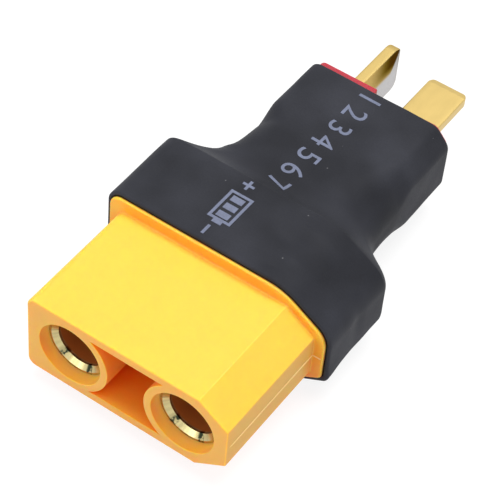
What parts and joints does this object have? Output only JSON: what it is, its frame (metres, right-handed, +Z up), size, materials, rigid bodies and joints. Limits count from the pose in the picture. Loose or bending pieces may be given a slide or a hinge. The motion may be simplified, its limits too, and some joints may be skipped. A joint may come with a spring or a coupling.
{
  "type": "battery connector adapter",
  "caption": "Rigid power adapter: a keyed housing with round sockets at one end, flat blades set in a T at the other, joined under shrunk tube.",
  "frame": {"origin": "middle of the box's base, lying flat as in the picture", "axes": "+Y from the sockets towards the blade tips, +X towards the chamfered side, +Z up"},
  "size_m": [0.022, 0.0448, 0.0111],
  "materials": {
    "socket_plastic": "moulded yellow nylon with a slight sheen",
    "contact_metal": "gold plated, polished",
    "solder": "tinned copper wire and solder",
    "blade_metal": "gold plated, satin",
    "plug_plastic": "moulded red nylon",
    "tube_plastic": "black shrunk tube, satin, with pale print"
  },
  "bodies": {
    "root": {"socket_housing": "socket_plastic", "contact_left": "contact_metal", "contact_right": "contact_metal", "link_left": "solder", "link_right": "solder", "blade_upright": "blade_metal", "blade_flat": "blade_metal", "plug_housing": "plug_plastic", "shrink_tube": "tube_plastic"}
  },
  "joints": []
}
